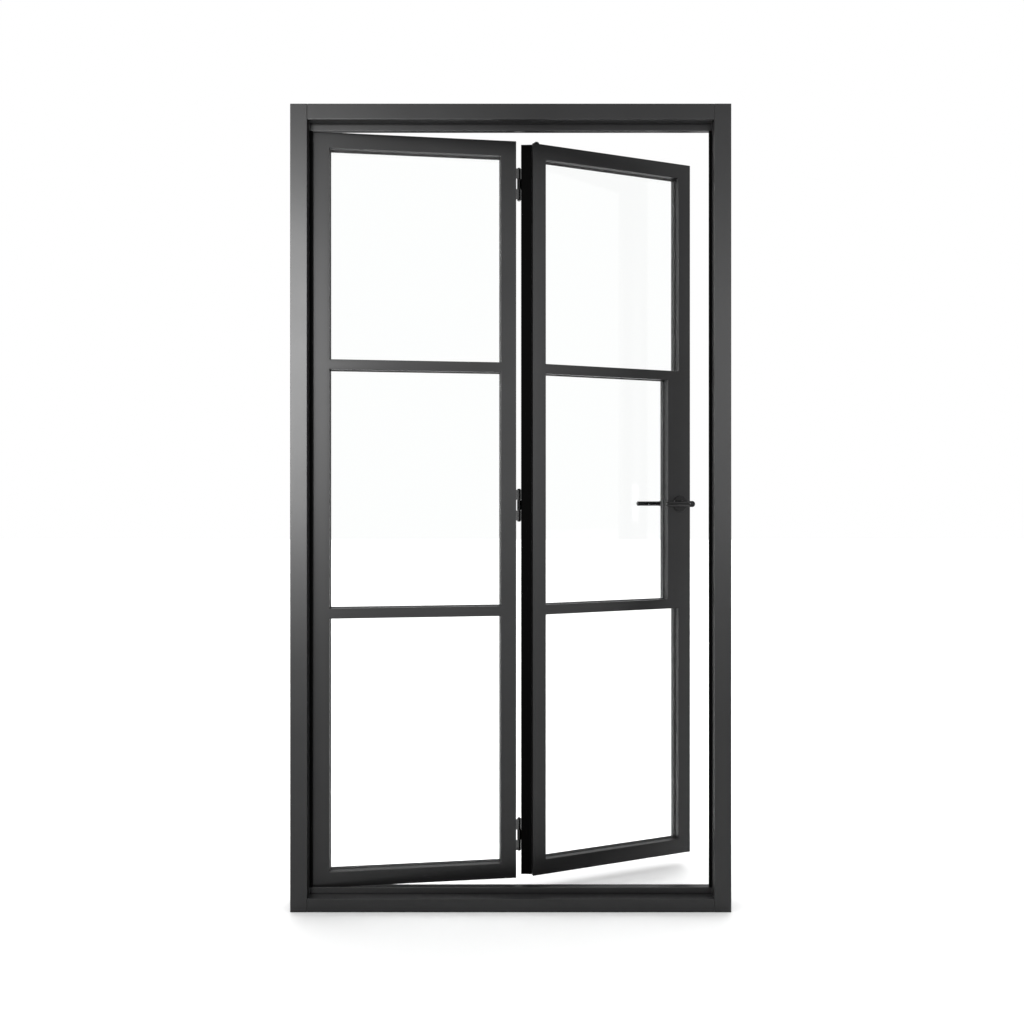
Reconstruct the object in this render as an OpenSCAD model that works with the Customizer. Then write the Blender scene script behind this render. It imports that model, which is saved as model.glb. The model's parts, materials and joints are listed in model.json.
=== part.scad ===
// Bifold door with its frame: two glazed metal leaves hung on the left jamb, folding away
// from the front, with a lever lock set on the free edge of the second leaf.
// X runs across the door, Y away from the front, Z up; the origin is on the floor, under the
// middle of the frame. Pieces are drawn with the door closed and the frame's front face at y 0,
// then moved so that the origin is at the middle of the frame's depth, and the leaves are swung
// to their rest pose.

/* [Frame] */
// Overall width of the frame
frame_w = 1200; // [1100:10:1300]
// Overall height of the frame
frame_h = 2200; // [2000:10:2400]
// Depth of the frame, front to back
frame_d = 88; // [84:1:100]
// Width of a jamb seen from the front
jamb_w = 46; // [42:1:60]
// Height of the head seen from the front
head_h = 43; // [36:1:60]
// Height of the sill seen from the front
sill_h = 37; // [30:1:50]
// Step of the rebate behind the front box
rebate = 13; // [13:1:16]
// Wall of the frame's hollow profile
frame_wall = 4; // [3:0.5:5]
// Thickness of the head and sill stops
stop_t = 6; // [4:0.5:7]
// Height of the stop under the head
head_stop_h = 18; // [16:1:24]
// Height of the stop on the sill
sill_stop_h = 17; // [12:1:22]
// How far a jamb seal stands into the opening
seal_lip = 8; // [4:1:8]
// Thickness of a jamb seal
seal_t = 7; // [4:0.5:8]
// Space between a jamb seal and a closed leaf
seal_clear = 1; // [0.5:0.5:3]
// Radius of a wall fixing hole
fixing_r = 4.5; // [3:0.5:5]
// Distance between wall fixing holes
fixing_step = 600; // [500:10:650]

/* [Leaves] */
// How much wider leaf 1 is than leaf 2
leaf_1_more = 61; // [0:1:80]
// Clear space between the two leaves when closed
meeting_gap = 37; // [34:1:40]
// Thickness of a leaf
leaf_t = 50; // [46:1:50]
// Space between a leaf and the rebate at the hinge jamb
hinge_gap = 7; // [6:0.5:9]
// Space between a leaf and the rebate at the lock jamb
lock_gap = 5; // [5:0.5:8]
// Space from the sill up to a leaf
bottom_gap = 10; // [6:0.5:12]
// Space from a leaf up to the head
top_gap = 16; // [8:0.5:16.5]
// Width of the stile on the jamb
hinge_stile_w = 52; // [46:1:60]
// Width of the stile at the meeting edge of leaf 1
meeting_stile_w = 44; // [40:1:54]
// Width of both stiles of leaf 2
leaf_2_stile_w = 40; // [38:1:48]
// Height of the top and bottom rails
rail_h = 43; // [38:1:54]
// Height of a glazing bar
bar_h = 28; // [27:1:40]
// Middle of the lower bar, above the floor
lower_bar_z = 806; // [760:1:840]
// Middle of the upper bar, above the floor
upper_bar_z = 1498; // [1440:1:1540]
// Wall of the leaves' hollow profile
leaf_wall = 3; // [2:0.5:3.5]
// Rest angle of leaf 1 from closed
leaf_1_angle = 6.5; // [0:0.5:40]
// Rest angle of leaf 2 from leaf 1
fold_angle = 12.5; // [0:0.5:60]

/* [Glazing] */
// Depth of the glazing rebate
glazing_rebate = 12; // [10:0.5:12.5]
// Depth of the fixed lip in front of the glass
front_lip = 18; // [14:1:20]
// Thickness of the glass
glass_t = 8; // [6:0.5:10]
// Thickness of gasket on each face of the glass
gasket_t = 3; // [2:0.5:4]
// Space from the glass edge to the rebate
glass_edge = 3; // [2:0.5:4]
// How far a gasket stands out of the rebate
gasket_lip = 1.5; // [0.5:0.5:3]

/* [Hinges] */
// Length of a hinge
hinge_len = 90; // [70:1:120]
// Radius of a hinge barrel
barrel_r = 6; // [5.5:0.5:6]
// Radius of a hinge pin
pin_r = 4; // [3:0.5:4]
// Running clearance of a pin, on the radius
pin_fit = 0.05; // [0.02:0.01:0.1]
// Thickness of a hinge plate
plate_t = 3; // [2.5:0.5:3.5]
// Width of a hinge plate over its member
plate_w = 27; // [24:1:30]
// Distance from a leaf's end to the middle of its outer hinge
hinge_inset = 102; // [80:1:150]
// Height of the middle hinge above the leaf's middle
mid_hinge_raise = 12; // [-40:1:40]
// Space between two knuckles
knuckle_gap = 0.5; // [0.3:0.1:1]
// Radius of the rounded corners of a hinge plate
plate_corner = 4; // [2:0.5:6]
// Radius of a hinge screw
screw_r = 2.5; // [2:0.25:2.5]
// Radius of a hinge screw's countersunk head
screw_head_r = 4.25; // [3.75:0.25:4.5]
// Length of a hinge screw
screw_len = 12; // [8:1:16]

/* [Lock] */
// Distance from the lock edge to the lever axis
backset = 35; // [35:1:40]
// Height of the lever axis above the floor
lever_z = 1109; // [1050:1:1150]
// Width of the lock stile where the lock sits
lock_stile_w = 77; // [75:1:86]
// Radius of a rose
rose_r = 24; // [18:0.5:24]
// Thickness of a rose
rose_t = 4; // [3:0.5:4]
// Radius of a lever's round neck
neck_r = 9; // [8:0.25:10]
// Radius of a lever's round grip
lever_r = 7; // [6:0.25:8]
// Reach of a lever from its axis to its tip
lever_len = 86; // [80:1:130]
// Distance from a leaf's face to the lever's middle line
lever_out = 65; // [50:1:70]
// Running clearance of the lock's moving pieces
lock_fit = 0.4; // [0.3:0.05:0.6]
// Side of the square spindle
spindle_w = 8; // [7:0.5:8]
// Reach of the latch out of the lock edge
latch_throw = 11; // [9:0.5:11.5]
// Thickness of the latch
latch_w = 10; // [8:0.5:12]
// Height of the latch
latch_h = 18; // [14:0.5:20]

/* [Hidden] */
$fn = 48;

// A cut runs past the face that it opens by this much
over = 1;
charcoal = [0.13, 0.13, 0.135];
rubber_black = [0.03, 0.03, 0.03];
glass_tint = [0.85, 0.92, 0.93, 0.35];
steel = [0.62, 0.63, 0.65];

// Places across the frame
frame_x = frame_w / 2;
inner_x = frame_x - jamb_w;
pocket_x = inner_x + rebate;
soffit_z = frame_h - head_h;
// The front box of a jamb takes the depth that the leaf and its seals leave
front_d = frame_d - leaf_t - max(seal_t, stop_t) - seal_clear;
fixing_y = (front_d + frame_d) / 2;
FIXING_Z = [for (i = [-1.5:1:1.5]) frame_h / 2 + i * fixing_step];

// The closed leaves: their ends across, their front face and their ends up
leaf_back = frame_d;
leaf_y = leaf_back - leaf_t;
leaf_z0 = sill_h + bottom_gap;
leaf_z1 = soffit_z - top_gap;
leaf_1_w = pocket_x + (leaf_1_more - hinge_gap - meeting_gap - lock_gap) / 2;
leaf_1_x0 = -pocket_x + hinge_gap;
leaf_1_x1 = leaf_1_x0 + leaf_1_w;
leaf_2_x0 = leaf_1_x1 + meeting_gap;
leaf_2_x1 = pocket_x - lock_gap;
LEAF_1 = [leaf_1_x0, leaf_1_x1, hinge_stile_w, meeting_stile_w];
LEAF_2 = [leaf_2_x0, leaf_2_x1, leaf_2_stile_w, leaf_2_stile_w];

// Hinge axes, behind the closed leaves
barrel_gap = 1;
axis_y = leaf_back + barrel_gap + barrel_r;
// The jamb hinges stand this far from the middle of their gap, towards the leaf
axis_shift = 0.5;
axis_1 = [leaf_1_x0 - hinge_gap / 2 + axis_shift, axis_y, 0];
// The meeting hinges stand this far from the middle of their gap, towards leaf 1
meeting_shift = 3.5;
axis_2 = [leaf_1_x1 + meeting_gap / 2 - meeting_shift, axis_y, 0];
leaf_mid = (leaf_z0 + leaf_z1) / 2;
HINGE_Z = [leaf_z0 + hinge_inset, leaf_mid + mid_hinge_raise, leaf_z1 - hinge_inset];
knuckle_len = hinge_len / 3;
pin_cap_t = 3;
// Hinge plates stay this far from the other barrels, with tongues at their own knuckles
plate_gap = 1.5;
plate_clear = barrel_r + plate_gap;
// Tongues stand this far off the rear faces
tongue_lift = 1;
// Plates start at the edge of their member, or clear of the barrel where that is further out
frame_root = max(plate_clear, axis_1[0] + pocket_x);
leaf_1_jamb_root = max(plate_clear, leaf_1_x0 - axis_1[0]);
leaf_1_meeting_root = max(plate_clear, axis_2[0] - leaf_1_x1);
leaf_2_meeting_root = max(plate_clear, leaf_2_x0 - axis_2[0]);
// Screws of a plate, from its free edge and from its ends
screw_side = 12;
screw_inset = 13;
SCREW_Z = [for (i = [-1:1]) i * (hinge_len / 2 - screw_inset)];

// Glazing layers, from the leaf's front face
gasket_w = glass_t + 2 * gasket_t;
bead_y = front_lip + gasket_w;
// Bead rings stop short of the leaf's rear face
bead_back = 2;
// Heights of the three openings in a leaf, as lower and upper ends
OPENINGS_Z = [
    [leaf_z0 + rail_h, lower_bar_z - bar_h / 2],
    [lower_bar_z + bar_h / 2, upper_bar_z - bar_h / 2],
    [upper_bar_z + bar_h / 2, leaf_z1 - rail_h]
];

// Section of the lip on the hinge edge of leaf 2: reach, root and tip, and how far it leans back
edge_seal_w = 27;
edge_seal_front = 13;
edge_seal_root = 20;
edge_seal_tip = 5;
edge_seal_lean = 9.5;
// Guide pin on top of leaf 2, which stays clear of the head
guide_r = 8;
guide_clear = 2;
guide_bevel = 3;
// Fin of a jamb seal, in front of the leaf
seal_fin_t = 3;

// Lock pieces, in the closed leaf 2
lever_x = leaf_2_x1 - backset;
lock_mid_y = leaf_y + leaf_t / 2;
case_size = [58, 16, 150];
// The faceplate runs on past both ends of the case, where its screws are
faceplate_past = 20;
faceplate = [3, 20, case_size[2] + 2 * faceplate_past];
faceplate_screw_inset = 11;
FACE_SCREW_Z = [for (s = [-1, 1]) lever_z + s * (faceplate[2] / 2 - faceplate_screw_inset)];
case_x1 = leaf_2_x1 - faceplate[0];
hub_r = 9;
latch_tail = 14;
latch_nose = 1;
latch_z = lever_z;
strike = [2, 24, 120];
strike_margin = 2;
strike_depth = latch_throw + strike_margin;
strike_screw_inset = 14;
STRIKE_SCREW_Z = [for (s = [-1, 1]) latch_z + s * (strike[2] / 2 - strike_screw_inset)];
small_screw_r = 2;
small_screw_head_r = 3.6;
small_screw_len = 9;
// Neck of a lever starts this far inside its rose
neck_in = 3;
// The spindle reaches this far past both faces of the leaf, into the necks
spindle_past = 12;
// The end of a neck stands this far past the grip
neck_past = 1;
// Bevels at the rim of a rose and at the tip of a lever
rose_bevel = 1.5;
tip_bevel = 1.5;

// Puts the origin at the middle of the frame's depth
module centred() {
    translate([0, -frame_d / 2, 0]) children();
}

// Swings a closed leaf 1 to its rest pose
module on_leaf_1() {
    centred() translate(axis_1) rotate([0, 0, leaf_1_angle]) translate(-axis_1) children();
}

// Swings a closed leaf 2 to its rest pose
module on_leaf_2() {
    on_leaf_1() translate(axis_2) rotate([0, 0, fold_angle]) translate(-axis_2) children();
}

// A block between two corners
module span(a, b) {
    translate(a) cube(b - a);
}

// A round bar or hole along Y
module along_y(p, len, r) {
    translate(p) rotate([-90, 0, 0]) cylinder(h = len, r = r);
}

// A round bar or hole along X
module along_x(p, len, r) {
    translate(p) rotate([0, 90, 0]) cylinder(h = len, r = r);
}

// A flat outline between two corners, with round corners
module rounded(a, b, r) {
    translate([a[0] + r, a[1]]) square([b[0] - a[0] - 2 * r, b[1] - a[1]]);
    translate([a[0], a[1] + r]) square([b[0] - a[0], b[1] - a[1] - 2 * r]);
    for (x = [a[0] + r, b[0] - r]) for (y = [a[1] + r, b[1] - r]) translate([x, y]) circle(r);
}

// A countersunk screw that points along -Z, with the top of its head at z 0
module countersunk(r, head_r, len) {
    translate([0, 0, -len]) cylinder(h = len, r = r);
    translate([0, 0, r - head_r]) cylinder(h = head_r - r, r1 = r, r2 = head_r);
}

// Frame

// Right-hand jamb: an L-shaped hollow profile, closed at the top, with wall fixing holes
module jamb_outline(inset) {
    polygon([[inner_x + inset, inset], [frame_x - inset, inset], [frame_x - inset, frame_d - inset],
             [pocket_x + inset, frame_d - inset], [pocket_x + inset, front_d - inset],
             [inner_x + inset, front_d - inset]]);
}

module jamb_profile() {
    difference() {
        linear_extrude(frame_h) jamb_outline(0);
        translate([0, 0, -over]) linear_extrude(frame_h + over - frame_wall) jamb_outline(frame_wall);
    }
}

module jamb_with_fixings() {
    difference() {
        jamb_profile();
        for (z = FIXING_Z) along_x([pocket_x - over, fixing_y, z], frame_x - pocket_x + 2 * over, fixing_r);
    }
}

module jamb_left() {
    color(charcoal) centred() difference() {
        mirror([1, 0, 0]) jamb_with_fixings();
        jamb_plate_screws();
    }
}

// The strike sits flush in the rebate, and the latch enters the hollow behind it
module jamb_right() {
    color(charcoal) centred() difference() {
        jamb_with_fixings();
        span([pocket_x - over, lock_mid_y - strike[1] / 2, latch_z - strike[2] / 2],
             [pocket_x + strike[0], lock_mid_y + strike[1] / 2, latch_z + strike[2] / 2]);
        strike_hole();
        strike_screw_pair();
    }
}

// Plan shape that fits between the two jambs, with the hollow that runs through it
module cross_member(h) {
    difference() {
        union() {
            span([-inner_x, 0, 0], [inner_x, front_d, h]);
            span([-pocket_x, front_d, 0], [pocket_x, frame_d, h]);
        }
        span([-pocket_x - over, frame_wall, frame_wall],
             [pocket_x + over, frame_d - frame_wall, h - frame_wall]);
    }
}

module head() {
    color(charcoal) centred() translate([0, 0, soffit_z]) cross_member(head_h);
}

module sill() {
    color(charcoal) centred() cross_member(sill_h);
}

module head_stop() {
    color(charcoal) centred()
        span([-inner_x, front_d, soffit_z - head_stop_h], [inner_x, front_d + stop_t, soffit_z]);
}

module sill_stop() {
    color(charcoal) centred()
        span([-inner_x, front_d, sill_h], [inner_x, front_d + stop_t, sill_h + sill_stop_h]);
}

// A seal lies against the back of the front box: a round bulb in the rebate, which the leaf meets,
// and a thin fin into the opening
module jamb_seal() {
    bulb_r = seal_t / 2;
    bulb_x = pocket_x - seal_lip - bulb_r;
    fin_x = inner_x - seal_lip;
    z0 = sill_h + sill_stop_h;
    z1 = soffit_z - head_stop_h;
    translate([0, 0, z0]) linear_extrude(z1 - z0) {
        translate([bulb_x, front_d + bulb_r]) circle(bulb_r);
        translate([fin_x, front_d]) square([bulb_x - fin_x, seal_fin_t]);
    }
}

module jamb_seal_left() {
    color(rubber_black) centred() mirror([1, 0, 0]) jamb_seal();
}

module jamb_seal_right() {
    color(rubber_black) centred() jamb_seal();
}

// Latch hole through the strike and the wall of the jamb
module strike_hole() {
    half_y = latch_w / 2 + strike_margin;
    half_z = latch_h / 2 + strike_margin;
    span([pocket_x - over, lock_mid_y - half_y, latch_z - half_z],
         [pocket_x + strike_depth, lock_mid_y + half_y, latch_z + half_z]);
}

// Small countersunk screw along X with its head at p; it points along +X where way is 1
module small_screw(p, way) {
    translate(p) rotate([0, -90 * way, 0]) countersunk(small_screw_r, small_screw_head_r, small_screw_len);
}

module strike_screw_pair() {
    for (z = STRIKE_SCREW_Z) small_screw([pocket_x, lock_mid_y, z], 1);
}

module strike_plate() {
    color(steel) centred() difference() {
        span([pocket_x, lock_mid_y - strike[1] / 2, latch_z - strike[2] / 2],
             [pocket_x + strike[0], lock_mid_y + strike[1] / 2, latch_z + strike[2] / 2]);
        strike_hole();
        strike_screw_pair();
    }
}

module strike_screws() {
    color(steel) centred() strike_screw_pair();
}

// Hinges

// Plate on a member's rear face with its knuckles, which are the two outer ones of the barrel or
// the middle one; side is -1 or 1, and bore is the radius of the pin's hole
module hinge_plate(axis, z, side, root, outer, bore) {
    knuckle_h = knuckle_len - knuckle_gap;
    x_in = axis[0] + side * root;
    x_square = x_in + side * plate_corner;
    x_out = x_in + side * plate_w;
    half_h = (hinge_len - knuckle_gap) / 2;
    difference() {
        union() {
            translate([0, leaf_back + plate_t, z]) rotate([90, 0, 0]) linear_extrude(plate_t) {
                rounded([min(x_in, x_out), -half_h], [max(x_in, x_out), half_h], plate_corner);
                translate([min(x_in, x_square), -half_h]) square([plate_corner, 2 * half_h]);
            }
            for (s = outer ? [-1, 1] : [0]) translate([0, 0, z + s * knuckle_len]) {
                span([min(axis[0], x_in), leaf_back + tongue_lift, -knuckle_h / 2],
                     [max(axis[0], x_in), leaf_back + plate_t, knuckle_h / 2]);
                translate(axis) cylinder(h = knuckle_h, r = barrel_r, center = true);
            }
        }
        translate([axis[0], axis[1], z]) cylinder(h = hinge_len + 2 * over, r = bore, center = true);
        plate_screws(axis, z, side, root);
    }
}

// Three countersunk screws of one plate
module plate_screws(axis, z, side, root) {
    screw_x = axis[0] + side * (root + plate_w - screw_side);
    for (dz = SCREW_Z) translate([screw_x, leaf_back + plate_t, z + dz]) rotate([-90, 0, 0])
        countersunk(screw_r, screw_head_r, screw_len);
}

// Pin with a tapered cap at both ends
module hinge_pin(axis, z) {
    translate([axis[0], axis[1], z]) {
        cylinder(h = hinge_len, r = pin_r, center = true);
        for (s = [0, 1]) mirror([0, 0, s]) translate([0, 0, hinge_len / 2])
            cylinder(h = pin_cap_t, r1 = barrel_r, r2 = pin_r);
    }
}

module jamb_plate_screws() {
    for (z = HINGE_Z) plate_screws(axis_1, z, -1, frame_root);
}

module leaf_1_jamb_screws() {
    for (z = HINGE_Z) plate_screws(axis_1, z, 1, leaf_1_jamb_root);
}

module leaf_1_meeting_screws() {
    for (z = HINGE_Z) plate_screws(axis_2, z, -1, leaf_1_meeting_root);
}

module leaf_2_meeting_screws() {
    for (z = HINGE_Z) plate_screws(axis_2, z, 1, leaf_2_meeting_root);
}

module jamb_hinge_frame_plates() {
    color(charcoal) centred() for (z = HINGE_Z) hinge_plate(axis_1, z, -1, frame_root, true, pin_r);
}

module jamb_hinge_pins() {
    color(steel) centred() for (z = HINGE_Z) hinge_pin(axis_1, z);
}

module jamb_hinge_frame_screws() {
    color(steel) centred() jamb_plate_screws();
}

module jamb_hinge_leaf_plates() {
    color(charcoal) on_leaf_1()
        for (z = HINGE_Z) hinge_plate(axis_1, z, 1, leaf_1_jamb_root, false, pin_r + pin_fit);
}

module jamb_hinge_leaf_screws() {
    color(steel) on_leaf_1() leaf_1_jamb_screws();
}

module meeting_hinge_pin_plates() {
    color(charcoal) on_leaf_1()
        for (z = HINGE_Z) hinge_plate(axis_2, z, -1, leaf_1_meeting_root, true, pin_r);
}

module meeting_hinge_pins() {
    color(steel) on_leaf_1() for (z = HINGE_Z) hinge_pin(axis_2, z);
}

module meeting_hinge_leaf_1_screws() {
    color(steel) on_leaf_1() leaf_1_meeting_screws();
}

module meeting_hinge_free_plates() {
    color(charcoal) on_leaf_2()
        for (z = HINGE_Z) hinge_plate(axis_2, z, 1, leaf_2_meeting_root, false, pin_r + pin_fit);
}

module meeting_hinge_leaf_2_screws() {
    color(steel) on_leaf_2() leaf_2_meeting_screws();
}

// Leaves

// Hollow upright, closed at the top, with its glazing rebate on the side of the glass,
// which inner gives as -1 or 1
module stile(x_outer, w, inner) {
    x_in = x_outer + inner * w;
    x_reb = x_in - inner * glazing_rebate;
    x_wall = x_reb - inner * leaf_wall;
    x_hollow = x_outer + inner * leaf_wall;
    difference() {
        span([min(x_outer, x_in), leaf_y, leaf_z0], [max(x_outer, x_in), leaf_back, leaf_z1]);
        span([min(x_reb, x_in + inner * over), leaf_y + front_lip, leaf_z0 - over],
             [max(x_reb, x_in + inner * over), leaf_back + over, leaf_z1 + over]);
        span([min(x_hollow, x_wall), leaf_y + leaf_wall, leaf_z0 - over],
             [max(x_hollow, x_wall), leaf_back - leaf_wall, leaf_z1 - leaf_wall]);
    }
}

// Rail between the stiles; inner is 1 where the glass is above it and -1 where it is below.
// Behind the front lip it runs on into the stiles' rebates.
module rail(leaf, z_outer, inner) {
    z_in = z_outer + inner * rail_h;
    z_reb = z_in - inner * glazing_rebate;
    z_wall = z_reb - inner * leaf_wall;
    z_hollow = z_outer + inner * leaf_wall;
    x0 = leaf[0] + leaf[2];
    x1 = leaf[1] - leaf[3];
    difference() {
        union() {
            span([x0, leaf_y, min(z_outer, z_in)], [x1, leaf_y + front_lip, max(z_outer, z_in)]);
            span([x0 - glazing_rebate, leaf_y + front_lip, min(z_outer, z_reb)],
                 [x1 + glazing_rebate, leaf_back, max(z_outer, z_reb)]);
        }
        span([x0 - glazing_rebate - over, leaf_y + leaf_wall, min(z_hollow, z_wall)],
             [x1 + glazing_rebate + over, leaf_back - leaf_wall, max(z_hollow, z_wall)]);
    }
}

// Bar of T section: a front flange and a web between the glazing rebates
module bar(leaf, z_mid) {
    x0 = leaf[0] + leaf[2];
    x1 = leaf[1] - leaf[3];
    web = bar_h / 2 - glazing_rebate;
    span([x0, leaf_y, z_mid - bar_h / 2], [x1, leaf_y + front_lip, z_mid + bar_h / 2]);
    span([x0 - glazing_rebate, leaf_y + front_lip, z_mid - web],
         [x1 + glazing_rebate, leaf_back, z_mid + web]);
}

// Width that the lock box takes from an opening of leaf 2, which is the middle one only
function lock_inset(leaf, i) = leaf == LEAF_2 && i == 1 ? lock_stile_w - leaf_2_stile_w : 0;

// A layer of opening i of a leaf, grown all round, between two depths behind the front face
module opening_layer(leaf, i, grow, y0, y1) {
    span([leaf[0] + leaf[2] - grow, leaf_y + y0, OPENINGS_Z[i][0] - grow],
         [leaf[1] - leaf[3] - lock_inset(leaf, i) + grow, leaf_y + y1, OPENINGS_Z[i][1] + grow]);
}

module pane(leaf, i) {
    y0 = front_lip + gasket_t;
    opening_layer(leaf, i, glazing_rebate - glass_edge, y0, y0 + glass_t);
}

// Gasket ring that wraps the edge of a pane
module gasket(leaf, i) {
    difference() {
        opening_layer(leaf, i, glazing_rebate, front_lip, bead_y);
        opening_layer(leaf, i, -gasket_lip, front_lip - over, bead_y + over);
        pane(leaf, i);
    }
}

// Bead ring that holds a pane from behind
module bead(leaf, i) {
    difference() {
        opening_layer(leaf, i, glazing_rebate, bead_y, leaf_t - bead_back);
        opening_layer(leaf, i, 0, bead_y - over, leaf_t);
    }
}

module leaf_1_hinge_stile() {
    color(charcoal) on_leaf_1() difference() {
        stile(leaf_1_x0, hinge_stile_w, 1);
        leaf_1_jamb_screws();
    }
}

module leaf_1_meeting_stile() {
    color(charcoal) on_leaf_1() difference() {
        stile(leaf_1_x1, meeting_stile_w, -1);
        leaf_1_meeting_screws();
    }
}

module leaf_1_top_rail() {
    color(charcoal) on_leaf_1() rail(LEAF_1, leaf_z1, -1);
}

module leaf_1_bottom_rail() {
    color(charcoal) on_leaf_1() rail(LEAF_1, leaf_z0, 1);
}

module leaf_1_upper_bar() {
    color(charcoal) on_leaf_1() bar(LEAF_1, upper_bar_z);
}

module leaf_1_lower_bar() {
    color(charcoal) on_leaf_1() bar(LEAF_1, lower_bar_z);
}

module leaf_1_top_pane() {
    color(glass_tint) on_leaf_1() pane(LEAF_1, 2);
}

module leaf_1_middle_pane() {
    color(glass_tint) on_leaf_1() pane(LEAF_1, 1);
}

module leaf_1_bottom_pane() {
    color(glass_tint) on_leaf_1() pane(LEAF_1, 0);
}

module leaf_1_gaskets() {
    color(rubber_black) on_leaf_1() for (i = [0:2]) gasket(LEAF_1, i);
}

module leaf_1_top_bead() {
    color(charcoal) on_leaf_1() bead(LEAF_1, 2);
}

module leaf_1_middle_bead() {
    color(charcoal) on_leaf_1() bead(LEAF_1, 1);
}

module leaf_1_bottom_bead() {
    color(charcoal) on_leaf_1() bead(LEAF_1, 0);
}

module leaf_2_hinge_stile() {
    color(charcoal) on_leaf_2() difference() {
        stile(leaf_2_x0, leaf_2_stile_w, 1);
        leaf_2_meeting_screws();
    }
}

module leaf_2_lock_stile() {
    color(charcoal) on_leaf_2() difference() {
        stile(leaf_2_x1, leaf_2_stile_w, -1);
        lock_cuts();
    }
}

module leaf_2_top_rail() {
    color(charcoal) on_leaf_2() rail(LEAF_2, leaf_z1, -1);
}

module leaf_2_bottom_rail() {
    color(charcoal) on_leaf_2() rail(LEAF_2, leaf_z0, 1);
}

module leaf_2_upper_bar() {
    color(charcoal) on_leaf_2() bar(LEAF_2, upper_bar_z);
}

module leaf_2_lower_bar() {
    color(charcoal) on_leaf_2() bar(LEAF_2, lower_bar_z);
}

module leaf_2_top_pane() {
    color(glass_tint) on_leaf_2() pane(LEAF_2, 2);
}

module leaf_2_middle_pane() {
    color(glass_tint) on_leaf_2() pane(LEAF_2, 1);
}

module leaf_2_bottom_pane() {
    color(glass_tint) on_leaf_2() pane(LEAF_2, 0);
}

module leaf_2_gaskets() {
    color(rubber_black) on_leaf_2() for (i = [0:2]) gasket(LEAF_2, i);
}

module leaf_2_top_bead() {
    color(charcoal) on_leaf_2() bead(LEAF_2, 2);
}

module leaf_2_middle_bead() {
    color(charcoal) on_leaf_2() bead(LEAF_2, 1);
}

module leaf_2_bottom_bead() {
    color(charcoal) on_leaf_2() bead(LEAF_2, 0);
}

// Black lip on the hinge edge of leaf 2, which leans back towards its round tip
module leaf_2_edge_seal() {
    root_y = leaf_y + edge_seal_front;
    tip_r = edge_seal_tip / 2;
    tip_x = leaf_2_x0 - edge_seal_w + tip_r;
    tip_y = root_y + edge_seal_lean + tip_r;
    color(rubber_black) on_leaf_2() translate([0, 0, leaf_z0]) linear_extrude(leaf_z1 - leaf_z0) {
        polygon([[leaf_2_x0, root_y], [leaf_2_x0, root_y + edge_seal_root],
                 [tip_x, tip_y + tip_r], [tip_x, tip_y - tip_r]]);
        translate([tip_x, tip_y]) circle(tip_r);
    }
}

module leaf_2_guide_pin() {
    pin_h = top_gap - guide_clear;
    color(charcoal) on_leaf_2() translate([leaf_2_x0 + leaf_2_stile_w / 2, lock_mid_y, leaf_z1]) {
        cylinder(h = pin_h - guide_bevel, r = guide_r);
        translate([0, 0, pin_h - guide_bevel])
            cylinder(h = guide_bevel, r1 = guide_r, r2 = guide_r - guide_bevel);
    }
}

// Lock

// Space for the lock case, the faceplate, the spindle and their screws
module lock_cuts() {
    span([case_x1 - case_size[0], lock_mid_y - case_size[1] / 2, lever_z - case_size[2] / 2],
         [case_x1, lock_mid_y + case_size[1] / 2, lever_z + case_size[2] / 2]);
    span([leaf_2_x1 - faceplate[0], lock_mid_y - faceplate[1] / 2, lever_z - faceplate[2] / 2],
         [leaf_2_x1 + over, lock_mid_y + faceplate[1] / 2, lever_z + faceplate[2] / 2]);
    along_y([lever_x, leaf_y - over, lever_z], leaf_t + 2 * over, hub_r);
    faceplate_screw_pair();
}

// Box that widens the lock stile between the two bars, with its own glazing rebate
module lock_box() {
    x0 = leaf_2_x1 - lock_stile_w;
    x1 = leaf_2_x1 - leaf_2_stile_w;
    web = bar_h / 2 - glazing_rebate;
    color(charcoal) on_leaf_2() difference() {
        union() {
            span([x0, leaf_y, OPENINGS_Z[1][0]], [x1, leaf_y + front_lip, OPENINGS_Z[1][1]]);
            span([x0 + glazing_rebate, leaf_y + front_lip, lower_bar_z + web],
                 [x1 + glazing_rebate, leaf_back, upper_bar_z - web]);
        }
        lock_cuts();
    }
}

// Space of the latch and its tail inside the case
module latch_way(clear) {
    span([lever_x + hub_r, lock_mid_y - latch_w / 2 - clear, latch_z - latch_h / 2 - clear],
         [leaf_2_x1 + over, lock_mid_y + latch_w / 2 + clear, latch_z + latch_h / 2 + clear]);
}

module lock_case() {
    color(steel) on_leaf_2() difference() {
        span([case_x1 - case_size[0], lock_mid_y - case_size[1] / 2, lever_z - case_size[2] / 2],
             [case_x1, lock_mid_y + case_size[1] / 2, lever_z + case_size[2] / 2]);
        latch_way(lock_fit);
        along_y([lever_x, leaf_y, lever_z], leaf_t, hub_r + lock_fit);
    }
}

module faceplate_screw_pair() {
    for (z = FACE_SCREW_Z) small_screw([leaf_2_x1, lock_mid_y, z], -1);
}

module lock_faceplate() {
    color(steel) on_leaf_2() difference() {
        span([leaf_2_x1 - faceplate[0], lock_mid_y - faceplate[1] / 2, lever_z - faceplate[2] / 2],
             [leaf_2_x1, lock_mid_y + faceplate[1] / 2, lever_z + faceplate[2] / 2]);
        latch_way(lock_fit);
        faceplate_screw_pair();
    }
}

module faceplate_screws() {
    color(steel) on_leaf_2() faceplate_screw_pair();
}

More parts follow.
